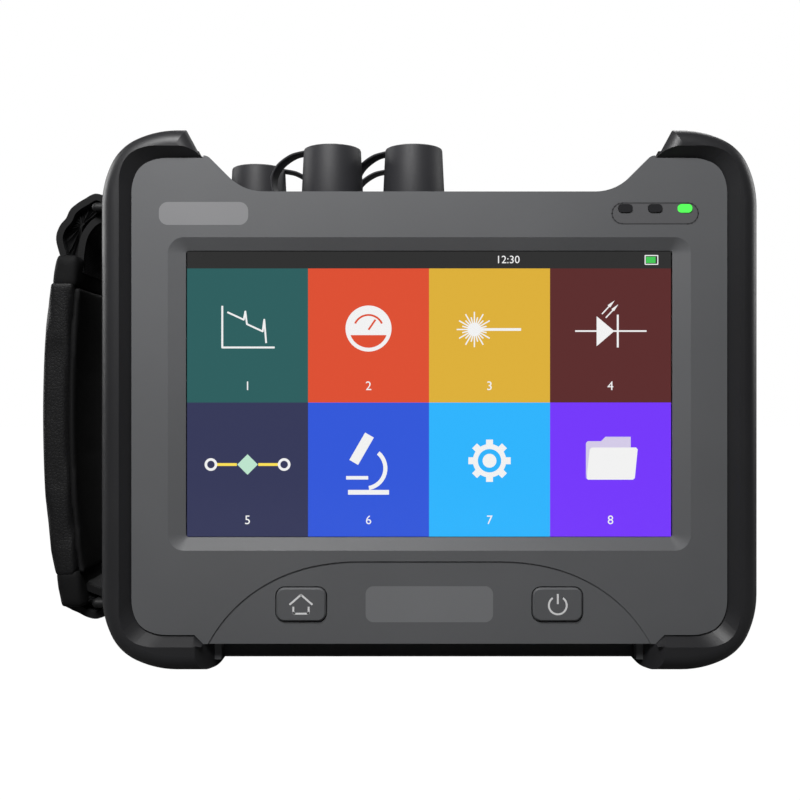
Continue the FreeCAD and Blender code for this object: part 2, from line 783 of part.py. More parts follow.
def flap_hinge():
    """Two small lugs on the deck that hold the flap's pin ends."""
    parts = []
    for x in (bay_left + 1.0, bay_right - 1.0 - lug_wide):
        lug = box(x, x + lug_wide, flap_hinge_y - lug_half, flap_hinge_y + lug_half,
                  deck_high, flap_axis_high + lug_rise)
        bore = Part.makeCylinder(flap_pin_radius + flap_pin_clear, lug_wide + 2,
                                 V(x - 1, flap_hinge_y, flap_axis_high), V(1, 0, 0))
        parts.append(lug.cut(bore))
    return Part.makeCompound(parts)


# ---- electronics -------------------------------------------------------------
def main_board():
    board = box(-main_board_half, main_board_half, main_board_deep, main_board_deep + board_thick,
                main_board_low, main_board_high)
    for x, z in standoff_places:
        board = board.cut(post(x, z, main_board_deep - 1, main_board_deep + 3, screw_radius))
    return board


def standoffs():
    parts = [post(x, z, bracket_rear, main_board_deep, standoff_radius) for x, z in standoff_places]
    return Part.makeCompound(parts)


def board_screws():
    parts = []
    back = main_board_deep + board_thick
    for x, z in standoff_places:
        parts.append(post(x, z, main_board_deep, back, screw_radius).fuse(post(x, z, back, back + 1.2, 2.6)))
    return Part.makeCompound(parts)


def can(x0, x1, z0, z1, y0, y1):
    """Pressed screening can with bevelled edges and a row of vents."""
    shape = box(x0, x1, y0, y1, z0, z1)
    shape = shape.makeChamfer(0.8, [e for e in shape.Edges if e.BoundBox.YMin > y1 - 1e-6])
    for n in range(5):
        shape = shape.cut(post(x0 + (n + 1) * (x1 - x0) / 6, (z0 + z1) / 2, y1 - 0.6, y1 + 1, 1.2))
    return shape


def display_cable():
    """Flat cable that crosses from the panel's bracket to the main board."""
    low = main_board_low + cable_rise
    return box(cable_left, cable_right, bracket_rear, main_board_deep, low, low + cable_thick)


def optical_module():
    """Ribbed metal case of the pulsed lasers and the detector."""
    front, back = stand_seat - bay_wall - module_thick, stand_seat - bay_wall
    shape = box(module_left, module_right, front, back, module_low, module_high)
    shape = shape.makeFillet(2.0, [e for e in shape.Edges if e.BoundBox.YLength > 1])
    for n in range(7):
        z = module_low + 8 + n * 5
        shape = shape.cut(box(module_left + 50, module_right - 4, front - 1, front + 1.2, z, z + 2))
    return shape


def fibre_tray():
    """Open spool that stores the spare fibre of the pigtails."""
    x, z = tray_middle
    front = module_front - tray_thick
    shape = post(x, z, front, module_front, tray_radius)
    shape = shape.cut(post(x, z, front - 1, module_front - 1.2, tray_radius - 1.5))
    return shape.fuse(post(x, z, front, module_front - 1.2, fibre_coil_radius - fibre_bundle - 0.2))


def fibre_coil():
    """Bundle of spare fibre, six-sided in section."""
    x, z = tray_middle
    middle = module_front - 1.2 - fibre_bundle * math.sin(math.radians(60))
    points = []
    for n in range(7):
        turn = math.radians(60 * n)
        points.append(V(x + fibre_coil_radius + fibre_bundle * math.cos(turn),
                        middle + fibre_bundle * math.sin(turn), z))
    return Part.Face(Part.makePolygon(points)).revolve(V(x, 0, z), V(0, 1, 0), 360)


def pigtail_boots():
    """Strain relief cones below the adaptors' tails."""
    parts = []
    for name in ("singlemode", "multimode"):
        x, y, turn = port_places[name]
        parts.append(Part.makeCone(3.0, 1.4, 14.0, V(x, y, tail_low), V(0, 0, -1)))
    return Part.makeCompound(parts)


def canister(name, radius, long):
    x, y, turn = port_places[name]
    shape = pillar(x, y, tail_low - long, tail_low, radius)
    return shape.cut(pillar(x, y, tail_low - long - 1, tail_low - long + 2, radius - 1.2))


def speaker():
    back = body_deep - wall
    shape = post(speaker_x, speaker_z, back - speaker_thick, back, speaker_radius)
    return shape.cut(post(speaker_x, speaker_z, back - 1.5, back + 1, speaker_radius - 1.5))


# ---- battery -----------------------------------------------------------------
def battery_pack():
    """Six round cells in a shrink sleeve: a slab with scalloped faces."""
    low, high = battery_low + battery_gap, battery_high - battery_gap
    front = battery_front
    radius = battery_deep / 2 - 0.3
    middle = front + radius
    half = bay_half - battery_gap - 8
    rows = [low + radius, high - radius]
    shape = box(-half, half, front, front + 2 * radius, rows[0], rows[1])
    for z in rows:
        shape = shape.fuse(Part.makeCylinder(radius, 2 * half, V(-half, middle, z), V(1, 0, 0)))
    return shape


def battery_contacts():
    """Sprung blades between the pack's end and the wall of its bay."""
    parts = []
    start = bay_half - battery_gap - 8
    middle = (battery_low + battery_high) / 2
    for z in (middle - contact_pitch, middle, middle + contact_pitch):
        parts.append(box(start, bay_half, battery_front + 4, battery_front + 9, z - 1.5, z + 1.5))
    return Part.makeCompound(parts)


def battery_door():
    shape = plate(0, (battery_low + battery_high) / 2, door_wide - 0.4, door_high - 0.4, door_corner,
                  body_deep - door_thick, body_deep)
    for n in range(6):
        x = -30 + n * 3.2
        shape = shape.cut(box(x, x + 1.6, body_deep - 0.7, body_deep + 1,
                              door_screw_z - grip_half, door_screw_z + grip_half))
    for s in (-1, 1):
        shape = shape.cut(post(s * door_screw_x, door_screw_z,
                               body_deep - door_thick - 1, body_deep + 1, 1.2))
        shape = shape.cut(post(s * door_screw_x, door_screw_z, body_deep - 1.2, body_deep + 1, 2.4))
    return shape


def door_screws():
    parts = []
    for s in (-1, 1):
        x = s * door_screw_x
        head = post(x, door_screw_z, body_deep - 1.2, body_deep, 2.2)
        parts.append(head.fuse(post(x, door_screw_z, body_deep - door_thick - 4, body_deep - 1, 1.0)))
    return Part.makeCompound(parts)


def housing_screws():
    parts = []
    for x, z in boss_places:
        shape = post(x, z, face_wall + 1, screw_seat, screw_radius)
        head = post(x, z, screw_seat, screw_seat + screw_head_high, screw_head_radius)
        parts.append(shape.fuse(head))
    return Part.makeCompound(parts)


# ---- kickstand ---------------------------------------------------------------
def kickstand():
    """Frame with a window, a finger lip and a pin at each end of its hinge edge."""
    front, back = stand_seat + 0.3, stand_seat + 0.3 + stand_thick
    shape = box(-stand_half, stand_half, front, back, stand_low, stand_pivot)
    corners = [e for e in shape.Edges if e.BoundBox.YLength > 1 and e.BoundBox.ZMax < stand_low + 1]
    shape = shape.makeFillet(8.0, corners)
    shape = shape.cut(plate(0, (stand_low + stand_pivot) / 2, 2 * stand_window_half,
                            stand_pivot - stand_low - 2 * stand_rail, 6, front - 1, back + 1))
    edge = Part.makeCylinder(stand_thick / 2, 2 * stand_half,
                             V(-stand_half, stand_pivot_deep, stand_pivot), V(1, 0, 0))
    end = stand_half + stand_pin_reach - 0.3
    pins = Part.makeCylinder(stand_pin_radius - stand_pin_clear, 2 * end,
                             V(-end, stand_pivot_deep, stand_pivot), V(1, 0, 0))
    return shape.fuse([edge, pins])


# ---- hand strap --------------------------------------------------------------
def strap_side(out, low, high):
    """The pad's line with both ends curving in, at a distance outside the housing's middle."""
    knee, step = 0.25 * strap_bow, strap_end / 2
    return [
        [(-out + knee, low + step), (-out, low + strap_end)],
        [(-out, high - strap_end)],
        [(-out + knee, high - step), (-out + strap_bow, high)],
    ]


def strap_pad():
    low, high = (-strap_reach + strap_bow, pad_low), (-strap_reach + strap_bow, pad_high)
    inner = strap_side(strap_reach - pad_thick, pad_low, pad_high)
    start, end = (low[0] + pad_thick, pad_low), (high[0] + pad_thick, pad_high)
    edges = trace(low, strap_side(strap_reach, pad_low, pad_high) + [[end]])
    edges += trace(start, inner) + trace(start, [[low]])
    shape = slab(edges, strap_middle - pad_wide / 2, strap_middle + pad_wide / 2)
    long_edges = [e for e in shape.Edges if e.BoundBox.YLength < 1 and e.BoundBox.ZLength > 10]
    return shape.makeFillet(3.0, long_edges)


def webbing(bar_z, pad_end):
    """Webbing from the pad's end to a loop round the bar."""
    turn = 1 if bar_z > pad_end else -1
    ring = bar_radius + bar_clear
    outer = ring + web_thick
    start = -(strap_reach - strap_bow) + web_inset
    side = start + 0.8
    bend = turn * outer
    edges = trace((start, pad_end), [
        [(side - 0.6, bar_z - 0.45 * (bar_z - pad_end)), (-bar_out, bar_z + bend)],
        [(-bar_out, bar_z + turn * ring)],
        [(side + 2.2, bar_z - 0.45 * (bar_z - pad_end)), (start + web_thick, pad_end)],
        [(start, pad_end)],
    ])
    y0, y1 = strap_middle - web_wide / 2, strap_middle + web_wide / 2
    strip = slab(edges, y0, y1)
    loop = post(-bar_out, bar_z, y0, y1, outer)
    return strip.fuse(loop).cut(post(-bar_out, bar_z, y0 - 1, y1 + 1, ring))


def strap_bars():
    """Steel bars bent at both ends, held in the housing's side."""
    parts = []
    for z in (bar_low, bar_high):
        shape = post(-bar_out, z, strap_bar_ends[0], strap_bar_ends[1], bar_radius)
        for y in strap_bar_ends:
            leg = Part.makeCylinder(bar_radius, bar_out - strap_socket, V(-bar_out, y, z), V(1, 0, 0))
            shape = shape.fuse([leg, Part.makeSphere(bar_radius, V(-bar_out, y, z))])
        parts.append(shape)
    return Part.makeCompound(parts)


# ---- places worked out from the sizes ----------------------------------------
keypad_front = 8.0
key_flange_front = face_wall + 0.15
switch_top = keypad_front - 2.2
key_stem_end = switch_top - key_travel - 0.1
stand_seat = body_deep - stand_recess
stand_pivot_deep = stand_seat + 0.3 + stand_thick / 2
stand_top = stand_pivot + stand_thick / 2
stand_pin_reach = 1.6
battery_front = body_deep - door_thick - battery_deep
door_wide = 2 * (bay_half + door_margin)
door_high = battery_high - battery_low + 2 * door_margin
door_screw_x = bay_half + 2.2
door_screw_z = (battery_low + battery_high) / 2
tail_low = deck_high - panel_thick - flange_thick - tail_long
cap_low = deck_high + ring_thick + cap_gap
port_board_top = deck_high - port_board_drop
flap_hinge_y = bay_rear + flap_overlap
flap_axis_high = deck_high + flap_lift + flap_thick / 2
socket_places = {
    "usb_socket": (bay_left + 11.0, socket_row, 14.5, 7.2),
    "data_socket": (bay_left + 25.0, socket_row, 8.0, 3.6),
    "dc_socket": (bay_left + 37.0, socket_row, 9.0, 9.0),
}
standoff_rows = (main_board_low + 6, main_board_high - 6)
standoff_places = [(s * (main_board_half - 6), z) for s in (-1, 1) for z in standoff_rows]
module_front = stand_seat - bay_wall - module_thick
tray_middle = (module_left + 24, (module_low + module_high) / 2)
strap_bar_ends = (strap_middle - bar_half, strap_middle + bar_half)
strap_socket = body_half - bar_leg


def pieces():
    """Each sub-component's name and solid."""
    right = bumper()
    left = right.mirror(V(0, 0, 0), V(1, 0, 0))
    for y in strap_bar_ends:
        for z in (bar_low, bar_high):
            left = left.cut(Part.makeCylinder(bar_radius, 2 * bar_leg, V(-body_half - bar_leg, y, z),
                                              V(1, 0, 0)))
    yield "front_housing", front_housing()
    yield "rear_housing", rear_housing()
    yield "housing_gasket", groove_ring(split_deep, split_deep + gasket_high - 0.1)
    yield "right_bumper", right
    yield "left_bumper", left
    yield "display_glass", plate(0, screen_centre, glass_wide, glass_high, 1.5, face_wall, glass_rear)
    yield "lcd_module", lcd_module()
    yield "lcd_bracket", lcd_bracket()
    yield "display_cable", display_cable()
    yield "name_plate", plate(-badge_centre, upper_row, badge_wide, badge_high, badge_corner, 0, plate_thick)
    yield "model_plate", plate(0, key_centre, plate_wide, plate_high, plate_corner,
                               arch_step, arch_step + plate_thick)
    yield "lamp_window", lamp_window()
    yield "dark_lamps", Part.makeCompound([lamp(x) for x in lamp_places[:2]])
    yield "ready_lamp", lamp(lamp_places[2])
    for name, x in key_places.items():
        yield name + "_key", key(x)
    yield "key_switches", key_switches()
    yield "keypad_board", keypad_board()
    yield "main_board", main_board()
    yield "board_standoffs", standoffs()
    yield "board_screws", board_screws()
    back = main_board_deep + board_thick
    yield "processor_can", can(*processor_edges, back, back + shield_thick)
    yield "receiver_can", can(*receiver_edges, back, back + shield_thick)
    yield "optical_module", optical_module()
    yield "fibre_tray", fibre_tray()
    yield "fibre_coil", fibre_coil()
    yield "pigtail_boots", pigtail_boots()
    yield "locator_laser", canister("locator", laser_radius, laser_long)
    yield "power_detector", canister("meter", detector_radius, detector_long)
    yield "speaker", speaker()
    yield "port_panel", port_panel()
    for name, (x, y, turn) in port_places.items():
        yield name + "_adaptor", adaptor(x, y)
        yield name + "_tether", tether(x, y, turn)
        yield name + "_cap", cap(x, y)
    yield "port_sleeves", sleeves()
    yield "port_board", port_board()
    for name, size in socket_places.items():
        yield name, dc_socket(*size) if name == "dc_socket" else socket_shell(*size)
    yield "port_flap", port_flap()
    yield "flap_hinge", flap_hinge()
    yield "battery_pack", battery_pack()
    yield "battery_contacts", battery_contacts()
    yield "battery_door", battery_door()
    yield "door_screws", door_screws()
    yield "housing_screws", housing_screws()
    yield "kickstand", kickstand()
    yield "strap_pad", strap_pad()
    yield "upper_webbing", webbing(bar_high, pad_high)
    yield "lower_webbing", webbing(bar_low, pad_low)
    yield "strap_bars", strap_bars()


os.makedirs("parts", exist_ok=True)
for name, shape in pieces():
    place(shape).exportStep("parts/" + name + ".step")
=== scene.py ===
"""Looks of a handheld optical time domain reflectometer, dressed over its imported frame."""
import math

import bmesh
import bpy
from mathutils import Matrix, Vector


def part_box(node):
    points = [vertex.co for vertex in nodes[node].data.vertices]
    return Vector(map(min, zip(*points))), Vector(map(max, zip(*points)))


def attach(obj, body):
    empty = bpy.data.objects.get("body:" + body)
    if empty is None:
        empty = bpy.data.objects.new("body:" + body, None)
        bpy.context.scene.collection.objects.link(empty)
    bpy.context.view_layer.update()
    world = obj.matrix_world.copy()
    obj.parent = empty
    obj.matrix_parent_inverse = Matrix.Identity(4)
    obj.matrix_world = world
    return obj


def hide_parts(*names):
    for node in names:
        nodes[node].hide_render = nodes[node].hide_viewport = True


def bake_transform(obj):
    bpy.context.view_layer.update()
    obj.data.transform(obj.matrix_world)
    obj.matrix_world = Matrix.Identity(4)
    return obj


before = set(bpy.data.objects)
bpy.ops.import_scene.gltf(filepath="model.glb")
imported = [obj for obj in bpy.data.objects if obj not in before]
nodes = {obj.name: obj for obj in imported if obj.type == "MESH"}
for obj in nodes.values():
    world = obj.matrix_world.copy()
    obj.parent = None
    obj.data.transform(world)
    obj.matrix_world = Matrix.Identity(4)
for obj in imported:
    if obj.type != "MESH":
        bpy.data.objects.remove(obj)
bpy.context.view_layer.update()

MM = 0.001


# ---- materials ---------------------------------------------------------------
def linear(code):
    """sRGB hex to linear RGBA."""
    parts = [int(code[n:n + 2], 16) / 255 for n in (1, 3, 5)]
    return tuple(c / 12.92 if c <= 0.04045 else ((c + 0.055) / 1.055) ** 2.4 for c in parts) + (1.0,)


def add(tree, kind, inputs=None, **settings):
    """Adds one node; inputs are constants, or output sockets to link."""
    made = tree.nodes.new(kind)
    for name, value in settings.items():
        setattr(made, name, value)
    for name, value in (inputs or {}).items():
        if isinstance(value, bpy.types.NodeSocket):
            tree.links.new(value, made.inputs[name])
        else:
            made.inputs[name].default_value = value
    return made


def surface(name, colour, roughness, **constants):
    """A material with its Principled shader; constants go on the shader's own sockets."""
    material = bpy.data.materials.new(name)
    material.use_nodes = True
    shader = material.node_tree.nodes["Principled BSDF"]
    shader.inputs["Base Color"].default_value = linear(colour)
    shader.inputs["Roughness"].default_value = roughness
    for socket, value in constants.items():
        shader.inputs[socket.replace("_", " ")].default_value = value
    material.diffuse_color = linear(colour)
    return material, material.node_tree, shader


def grained(name, colours, roughness, grain, relief, patch=45.0, spread=0.05, **constants):
    """Moulded or cast surface: a fine grain and slow changes of tone and gloss, sizes in mm."""
    material, tree, shader = surface(name, colours[0], roughness, **constants)
    place = add(tree, "ShaderNodeTexCoord").outputs["Object"]
    fine = add(tree, "ShaderNodeTexNoise", {"Vector": place, "Scale": 1 / (grain * MM), "Detail": 3.0})
    slow = add(tree, "ShaderNodeTexNoise", {"Vector": place, "Scale": 1 / (patch * MM), "Detail": 2.0})
    tone = add(tree, "ShaderNodeValToRGB", {"Fac": slow.outputs["Fac"]})
    tone.color_ramp.elements[0].position = 0.3
    tone.color_ramp.elements[0].color = linear(colours[1])
    tone.color_ramp.elements[1].position = 0.7
    tone.color_ramp.elements[1].color = linear(colours[0])
    gloss = add(tree, "ShaderNodeMapRange", {"Value": fine.outputs["Fac"], "To Min": roughness - spread,
                                             "To Max": roughness + spread})
    bump = add(tree, "ShaderNodeBump", {"Height": fine.outputs["Fac"], "Strength": relief,
                                        "Distance": 0.1 * grain * MM})
    tree.links.new(tone.outputs["Color"], shader.inputs["Base Color"])
    tree.links.new(gloss.outputs["Result"], shader.inputs["Roughness"])
    tree.links.new(bump.outputs["Normal"], shader.inputs["Normal"])
    return material


def glowing(name, colour, strength=1.0):
    """Lit display or lamp: black until lit, so that its colour is its own light."""
    material, _, shader = surface(name, "#000000", 0.4)
    shader.inputs["Specular IOR Level"].default_value = 0.0
    shader.inputs["Emission Color"].default_value = linear(colour)
    shader.inputs["Emission Strength"].default_value = strength
    material.diffuse_color = linear(colour)
    return material


def woven(name, colours, pitch, roughness):
    """Nylon webbing: crossed ribs a thread apart in mm, on the piece's own UV map, in metres."""
    material, tree, shader = surface(name, colours[0], roughness, Specular_IOR_Level=0.3)
    place = add(tree, "ShaderNodeTexCoord").outputs["UV"]
    crests_apart = 0.314     # distance between crests of the wave texture at a scale of 1
    warp = add(tree, "ShaderNodeTexWave", {"Vector": place, "Scale": crests_apart / (pitch * MM)},
               wave_type="BANDS", bands_direction="X")
    weft = add(tree, "ShaderNodeTexWave", {"Vector": place, "Scale": crests_apart / (pitch * 0.6 * MM)},
               wave_type="BANDS", bands_direction="Y")
    weave = add(tree, "ShaderNodeMath", {0: warp.outputs["Fac"], 1: weft.outputs["Fac"]},
                operation="MULTIPLY")
    tone = add(tree, "ShaderNodeValToRGB", {"Fac": weave.outputs["Value"]})
    tone.color_ramp.elements[0].color = linear(colours[1])
    tone.color_ramp.elements[1].color = linear(colours[0])
    bump = add(tree, "ShaderNodeBump", {"Height": weave.outputs["Value"], "Strength": 0.6,
                                        "Distance": 0.25 * MM})
    tree.links.new(tone.outputs["Color"], shader.inputs["Base Color"])
    tree.links.new(bump.outputs["Normal"], shader.inputs["Normal"])
    return material


def leather(name, colours, grain, roughness):
    """Embossed leather cloth: rounded grains in mm with creases between them."""
    material, tree, shader = surface(name, colours[0], roughness, Specular_IOR_Level=0.3)
    place = add(tree, "ShaderNodeTexCoord").outputs["Object"]
    wander = add(tree, "ShaderNodeTexNoise", {"Vector": place, "Scale": 1 / (grain * 3 * MM), "Detail": 2.0})
    warped = add(tree, "ShaderNodeVectorMath", {0: wander.outputs["Color"], 1: (0.6 * grain * MM,) * 3},
                 operation="MULTIPLY")
    bent = add(tree, "ShaderNodeVectorMath", {0: place, 1: warped.outputs["Vector"]}, operation="ADD")
    cells = add(tree, "ShaderNodeTexVoronoi", {"Vector": bent.outputs["Vector"], "Scale": 1 / (grain * MM)},
                feature="DISTANCE_TO_EDGE")
    rise = add(tree, "ShaderNodeMapRange", {"Value": cells.outputs["Distance"], "From Max": 0.22},
               interpolation_type="SMOOTHSTEP")
    tone = add(tree, "ShaderNodeValToRGB", {"Fac": rise.outputs["Result"]})
    tone.color_ramp.elements[0].color = linear(colours[1])
    tone.color_ramp.elements[1].color = linear(colours[0])
    bump = add(tree, "ShaderNodeBump", {"Height": rise.outputs["Result"], "Strength": 0.3,
                                        "Distance": 0.12 * grain * MM})
    tree.links.new(tone.outputs["Color"], shader.inputs["Base Color"])
    tree.links.new(bump.outputs["Normal"], shader.inputs["Normal"])
    return material


# ABS with a spark-eroded satin texture, moulded in mid grey
face_abs = grained("face_abs", ("#68696b", "#636466"), 0.52, 0.7, 0.25)
# the same ABS in near black
shell_abs = grained("shell_abs", ("#262628", "#202022"), 0.5, 0.7, 0.3)
# thermoplastic elastomer, moulded over the ends: soft satin with a broad highlight
end_elastomer = grained("end_elastomer", ("#2b2b2d", "#262628"), 0.46, 0.8, 0.2,
                        Coat_Weight=0.08, Coat_Roughness=0.4)
# silicone rubber of the caps and tethers
cap_silicone = grained("cap_silicone", ("#313134", "#2b2b2e"), 0.55, 0.9, 0.2, Specular_IOR_Level=0.4)
# nitrile seal, dull
seal_nitrile = grained("seal_nitrile", ("#141414", "#101010"), 0.7, 0.5, 0.2)
# keypad silicone with a sprayed coat in the colour of the face
key_silicone = grained("key_silicone", ("#656668", "#616264"), 0.45, 0.6, 0.15)
# polycarbonate films of the badge, the plate and the lamps' window, with a fine matt print
badge_film = grained("badge_film", ("#919193", "#8d8d8f"), 0.45, 0.5, 0.1)
plate_film = grained("plate_film", ("#828385", "#7e7f81"), 0.42, 0.5, 0.1)
lamp_film = grained("lamp_film", ("#676769", "#636365"), 0.4, 0.5, 0.1)
# smoked acrylic lens over an unlit lamp
lens_acrylic = grained("lens_acrylic", ("#38383a", "#2a2a2c"), 0.3, 0.4, 0.1, IOR=1.49)
# polariser film of the display, black where it is not lit
display_film = grained("display_film", ("#0b0b0c", "#09090a"), 0.35, 0.4, 0.05)
# green lamp, lit
lens_lit = glowing("lens_lit", "#59ff5c", 1.15)
# screen-printed signs on the keys
pictogram_ink = grained("pictogram_ink", ("#f6f6f6", "#f0f0f0"), 0.5, 0.5, 0.1)
# zinc-plated and nickel-plated steel, and machined aluminium
zinc_steel = grained("zinc_steel", ("#b4b6b9", "#9fa1a4"), 0.35, 0.4, 0.15, Metallic=1.0)
nickel_plate = grained("nickel_plate", ("#cfcac0", "#bdb8ae"), 0.24, 0.4, 0.08, Metallic=1.0)
module_aluminium = grained("module_aluminium", ("#c3c5c8", "#b2b4b7"), 0.38, 0.5, 0.15, Metallic=1.0)
# sintered zirconia, polished
zirconia = grained("zirconia", ("#f2f0ea", "#e9e7e0"), 0.12, 0.5, 0.02, IOR=2.1)
# glass-epoxy board under green solder resist
solder_resist = grained("solder_resist", ("#145c2e", "#0f4a24"), 0.3, 1.2, 0.3)
# coloured jacket of the spare fibre, amber film of the flat cable, heat-shrink round the cells, and webbing
fibre_jacket = grained("fibre_jacket", ("#e2b52a", "#d0a41f"), 0.45, 0.6, 0.1)
polyimide = grained("polyimide", ("#a8641c", "#955515"), 0.3, 0.6, 0.05)
shrink_sleeve = grained("shrink_sleeve", ("#24509c", "#1e4587"), 0.28, 1.5, 0.1)
nylon_web = woven("nylon_web", ("#1f1f21", "#0e0e0f"), 0.9, 0.66)
# leather cloth with a coarse grain of 1.1 mm
pad_leather = leather("pad_leather", ("#171718", "#121213"), 1.1, 0.55)
# knitted polyester over the strap's ends; the same near-black knit on the pad's lining and in the webbing
# loops also stands in as painted shade
cuff_knit = grained("cuff_knit", ("#101011", "#0b0b0c"), 0.75, 0.9, 0.5, Specular_IOR_Level=0.25)
# steel bars under black stove enamel
bar_enamel = grained("bar_enamel", ("#121213", "#0d0d0e"), 0.6, 0.6, 0.1)

# toughened glass; its anti-reflective coat is an index lower than that of bare glass
display_glass = surface("display_glass", "#ffffff", 0.03, IOR=1.22, Transmission_Weight=1.0)[0]

finishes = {
    face_abs: ["front_housing"],
    shell_abs: ["rear_housing", "battery_door", "kickstand", "port_panel", "speaker", "fibre_tray",
                "flap_hinge", "dc_socket"],
    end_elastomer: ["left_bumper", "right_bumper"],
    seal_nitrile: ["housing_gasket", "pigtail_boots"],
    cap_silicone: ["port_flap"] + [n for n in nodes if n.endswith("_cap") or n.endswith("_tether")],
    key_silicone: ["home_key", "power_key"],
    badge_film: ["name_plate"],
    plate_film: ["model_plate"],
    lamp_film: ["lamp_window"],
    lens_acrylic: ["dark_lamps"],
    display_film: ["lcd_module"],
    lens_lit: ["ready_lamp"],
    display_glass: ["display_glass"],
    zinc_steel: ["lcd_bracket", "key_switches", "board_screws", "processor_can", "receiver_can",
                 "door_screws", "housing_screws"],
    bar_enamel: ["strap_bars"],
    nickel_plate: ["board_standoffs", "locator_laser", "power_detector", "usb_socket", "data_socket",
                   "battery_contacts"] + [n for n in nodes if n.endswith("_adaptor")],
    module_aluminium: ["optical_module"],
    zirconia: ["port_sleeves"],
    solder_resist: ["keypad_board", "main_board", "port_board"],
    fibre_jacket: ["fibre_coil"],
    polyimide: ["display_cable"],
    shrink_sleeve: ["battery_pack"],
    nylon_web: ["upper_webbing", "lower_webbing"],
    pad_leather: ["strap_pad"],
}


def dress(thing, material):
    thing.data.materials.clear()
    thing.data.materials.append(material)


for finish, names in finishes.items():
    for name in names:
        dress(nodes[name], finish)


# ---- flat shapes, drawn in mm in a plane that faces the user -----------------
def oblong(bm, u, v, wide, high, turn=0.0):
    place = (Matrix.Translation((u, v, 0)) @ Matrix.Rotation(turn, 4, "Z")
             @ Matrix.Diagonal((wide, high, 1, 1)))
    bmesh.ops.create_grid(bm, x_segments=1, y_segments=1, size=0.5, matrix=place)


def round_point(u, v, radius, degrees):
    """A point on a circle round (u, v)."""
    turn = math.radians(degrees)
    return u + radius * math.cos(turn), v + radius * math.sin(turn)


def stroke(bm, points, width):
    """A line of even width through the points, with round joints."""
    for (u0, v0), (u1, v1) in zip(points, points[1:]):
        long = math.hypot(u1 - u0, v1 - v0)
        oblong(bm, (u0 + u1) / 2, (v0 + v1) / 2, long, width, math.atan2(v1 - v0, u1 - u0))
    for u, v in points[1:-1]:
        disc(bm, u, v, width / 2, 12)


def disc(bm, u, v, radius, steps=32):
    bmesh.ops.create_circle(bm, cap_ends=True, radius=radius, segments=steps,
                            matrix=Matrix.Translation((u, v, 0)))


def ring(bm, u, v, radius, width, start=0.0, sweep=math.tau):
    """A circular band, or part of one, spun from its cross line."""
    ends = [bm.verts.new((u + r * math.cos(start), v + r * math.sin(start), 0))
            for r in (radius - width, radius)]
    edge = bm.edges.new(ends)
    steps = int(sweep / math.tau * 40)
    bmesh.ops.spin(bm, geom=ends + [edge], cent=(u, v, 0), axis=(0, 0, 1), angle=sweep, steps=steps)


def polygon(bm, points):
    bm.faces.new([bm.verts.new((u, v, 0)) for u, v in points])


def inlay(name, material, centre, draw, body="instrument", thick=0.06):
    """A thin print drawn round centre (x, y, z in metres); y is its rear face."""
    bm = bmesh.new()
    draw(bm)
    bmesh.ops.remove_doubles(bm, verts=bm.verts, dist=1e-5)
    bmesh.ops.recalc_face_normals(bm, faces=bm.faces)
    flipped = [face for face in bm.faces if face.normal.z < 0]
    bmesh.ops.reverse_faces(bm, faces=flipped)
    raised = bmesh.ops.extrude_face_region(bm, geom=list(bm.faces))
    tops = [item for item in raised["geom"] if isinstance(item, bmesh.types.BMVert)]
    bmesh.ops.translate(bm, vec=(0, 0, thick), verts=tops)
    place = Matrix.Translation(centre) @ Matrix.Rotation(math.radians(90), 4, "X") @ Matrix.Scale(MM, 4)
    bmesh.ops.transform(bm, matrix=place, verts=bm.verts)
    bmesh.ops.recalc_face_normals(bm, faces=bm.faces)
    finished(name, bm, material, body)


def finished(name, bm, material, body="instrument"):
    mesh = bpy.data.meshes.new(name)
    bm.to_mesh(mesh)
    bm.free()
    thing = bpy.data.objects.new(name, mesh)
    bpy.context.scene.collection.objects.link(thing)
    mesh.materials.append(material)
    if body:
        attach(thing, body)
    return thing


em_per_height = 1.38     # the font's size over the height of its figures


def numerals(name, text, size, centre, material):
    """Plain figures of a height in mm, centred, made a mesh before they are placed."""
    curve = bpy.data.curves.new(name, "FONT")
    curve.body = text
    curve.size = em_per_height * size * MM
    curve.extrude = 0.03 * MM
    curve.resolution_u = 3
    curve.align_x = "CENTER"
    curve.align_y = "CENTER"
    letter = bpy.data.objects.new(name, curve)
    mesh = bpy.data.meshes.new_from_object(letter)
    bpy.data.objects.remove(letter)
    mesh.transform(Matrix.Translation(centre) @ Matrix.Rotation(math.radians(90), 4, "X"))
    mesh.name = name
    thing = bpy.data.objects.new(name, mesh)
    bpy.context.scene.collection.objects.link(thing)
    dress(thing, material)
    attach(thing, "instrument")


# ---- the lit display ---------------------------------------------------------
glass_low, glass_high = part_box("display_glass")
screen_margin = 4.0 * MM
screen_low = glass_low + Vector((screen_margin, 0, screen_margin))
screen_high = glass_high - Vector((screen_margin, 0, screen_margin))
screen_wide = (screen_high.x - screen_low.x) / MM
screen_tall = (screen_high.z - screen_low.z) / MM
screen_x = (screen_low.x + screen_high.x) / 2
bar_tall = 5.4
tile_wide = screen_wide / 4
tile_tall = (screen_tall - bar_tall) / 2
tile_layer = glass_high.y + 0.27 * MM
icon_layer = tile_layer - 0.08 * MM
detail_layer = icon_layer - 0.08 * MM

white_light = glowing("white_light", "#f4f4f4")
yellow_light = glowing("yellow_light", "#ffe25a")
mint_light = glowing("mint_light", "#bfe6cf")
green_light = glowing("green_light", "#49c85a")
tile_colours = [["#316161", "#df5236", "#dfb23d", "#5e3030"], ["#393c5b", "#365adb", "#32b6ff", "#773bfd"]]


def tile_centre(row, column):
    x = screen_low.x + (column + 0.5) * tile_wide * MM
    z = screen_high.z - (bar_tall + (row + 0.5) * tile_tall) * MM
    return x, z


